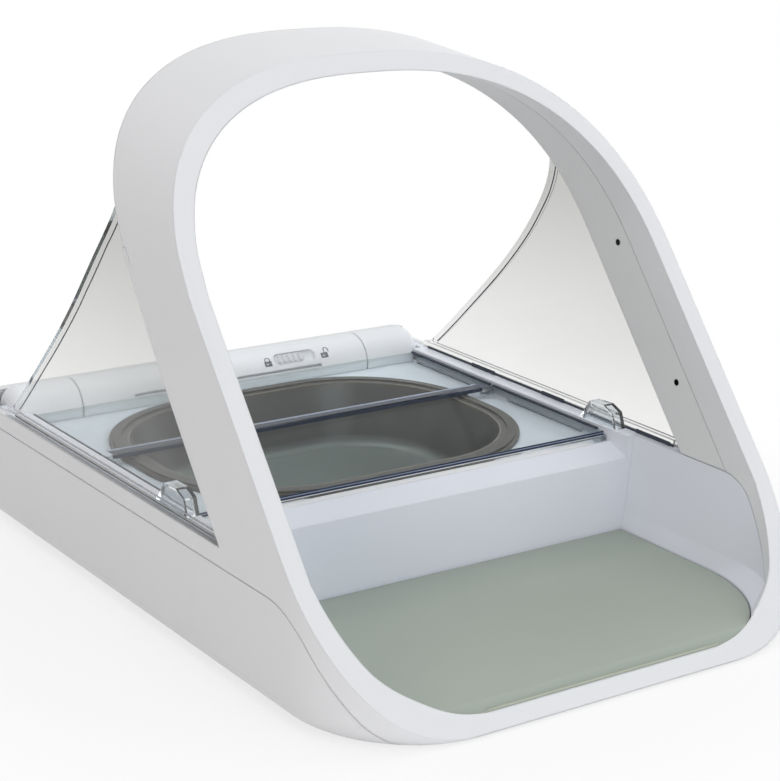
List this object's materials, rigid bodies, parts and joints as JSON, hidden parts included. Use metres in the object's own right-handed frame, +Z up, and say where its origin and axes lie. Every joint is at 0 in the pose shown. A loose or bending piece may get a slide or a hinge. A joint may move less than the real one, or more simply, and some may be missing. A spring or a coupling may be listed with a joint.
{
  "type": "microchip pet feeder",
  "caption": "Pet feeder: a leaning D-shaped entrance arch on a low tub, a tray with a mat, and an oval bowl under a clear folding lid that a motor turns.",
  "frame": {"origin": "middle of the footprint, on the surface that the four feet stand on", "axes": "+Y from the entrance to the hinge barrel at the rear, +Z up, +X to the right of someone who looks in through the entrance"},
  "size_m": [0.23, 0.31, 0.2214],
  "materials": {
    "white_shell": "satin white moulding",
    "inner_shell": "satin white moulding",
    "slider_plastic": "satin white",
    "clear_plastic": "clear polished",
    "lid_plastic": "clear polished",
    "bowl_plastic": "dark grey satin",
    "seal_rubber": "matt",
    "mat_rubber": "matt sage grey",
    "foot_rubber": "matt grey",
    "button_plastic": "satin grey",
    "gear_plastic": "natural acetal",
    "motor_case": "plain",
    "board": "solder mask",
    "black_plastic": "gloss black",
    "copper_wire": "enamelled copper",
    "cell_jacket": "printed jacket without print",
    "spring_steel": "nickel plated"
  },
  "bodies": {
    "base": {"upper_casing": "white_shell", "antenna_cover": "inner_shell", "ir_windows": "black_plastic", "antenna_coil": "copper_wire", "lower_tub": "white_shell", "deck_tray": "white_shell", "food_bowl": "bowl_plastic", "bowl_seal": "seal_rubber", "wing_left": "clear_plastic", "wing_right": "clear_plastic", "runner_guard_left": "clear_plastic", "runner_guard_right": "clear_plastic", "gear_motor": "motor_case", "barrel_end_left": "white_shell", "barrel_end_right": "white_shell", "main_board": "board", "sounder": "black_plastic", "battery_cells": "cell_jacket", "battery_contacts": "spring_steel", "case_screws": "spring_steel", "feet": "foot_rubber"},
    "lid_rear": {"hinge_barrel": "white_shell", "barrel_hub_left": "white_shell", "barrel_hub_right": "white_shell", "barrel_gear": "gear_plastic", "lid_rear_panel": "lid_plastic", "fold_pins": "spring_steel"},
    "lid_front": {"lid_front_panel": "lid_plastic"},
    "lock": {"lock_slider": "slider_plastic"},
    "drive": {"drive_gear": "gear_plastic"},
    "mat_body": {"mat": "mat_rubber"},
    "button_training_body": {"button_training": "button_plastic"},
    "button_lid_body": {"button_lid": "button_plastic"},
    "button_add_pet_body": {"button_add_pet": "button_plastic"},
    "door_left": {"battery_door_left": "white_shell"},
    "door_right": {"battery_door_right": "white_shell"}
  },
  "joints": [
    {"name": "lid_hinge", "type": "hinge", "parent": "base", "child": "lid_rear", "pos_m": [0, 0.1375, 0.0475], "axis": [-1, 0, 0], "range_deg": [0, 80]},
    {"name": "fold_hinge", "type": "hinge", "parent": "lid_rear", "child": "lid_front", "pos_m": [0, 0.0575, 0.0475], "axis": [1, 0, 0], "range_deg": [0, 160]},
    {"name": "drive_spin", "type": "hinge", "parent": "base", "child": "drive", "pos_m": [0.08275, 0.12895, 0.03269], "axis": [-1, 0, 0], "range_deg": [-90, 0]},
    {"name": "lock_slide", "type": "slide", "parent": "lid_rear", "child": "lock", "axis": [1, 0, 0], "range_m": [0, 0.006]},
    {"name": "mat_lift", "type": "slide", "parent": "base", "child": "mat_body", "axis": [0, 0, 1], "range_m": [0, 0.06]},
    {"name": "button_training_press", "type": "slide", "parent": "base", "child": "button_training_body", "axis": [0, -1, 0], "range_m": [0, 0.0012], "stiffness_N_per_m": 500},
    {"name": "button_lid_press", "type": "slide", "parent": "base", "child": "button_lid_body", "axis": [0, -1, 0], "range_m": [0, 0.0012], "stiffness_N_per_m": 500},
    {"name": "button_add_pet_press", "type": "slide", "parent": "base", "child": "button_add_pet_body", "axis": [0, -1, 0], "range_m": [0, 0.0012], "stiffness_N_per_m": 500},
    {"name": "battery_door_left_hinge", "type": "hinge", "parent": "base", "child": "door_left", "pos_m": [-0.0932, -0.00415, 0.0023], "axis": [-1, 0, 0], "range_deg": [0, 60]},
    {"name": "battery_door_right_hinge", "type": "hinge", "parent": "base", "child": "door_right", "pos_m": [0.0932, -0.00415, 0.0023], "axis": [-1, 0, 0], "range_deg": [0, 60]}
  ],
  "couplings": [
    {"joint": "fold_hinge", "follows": "lid_hinge", "ratio": 2},
    {"joint": "drive_spin", "follows": "lid_hinge", "ratio": -1.125}
  ]
}
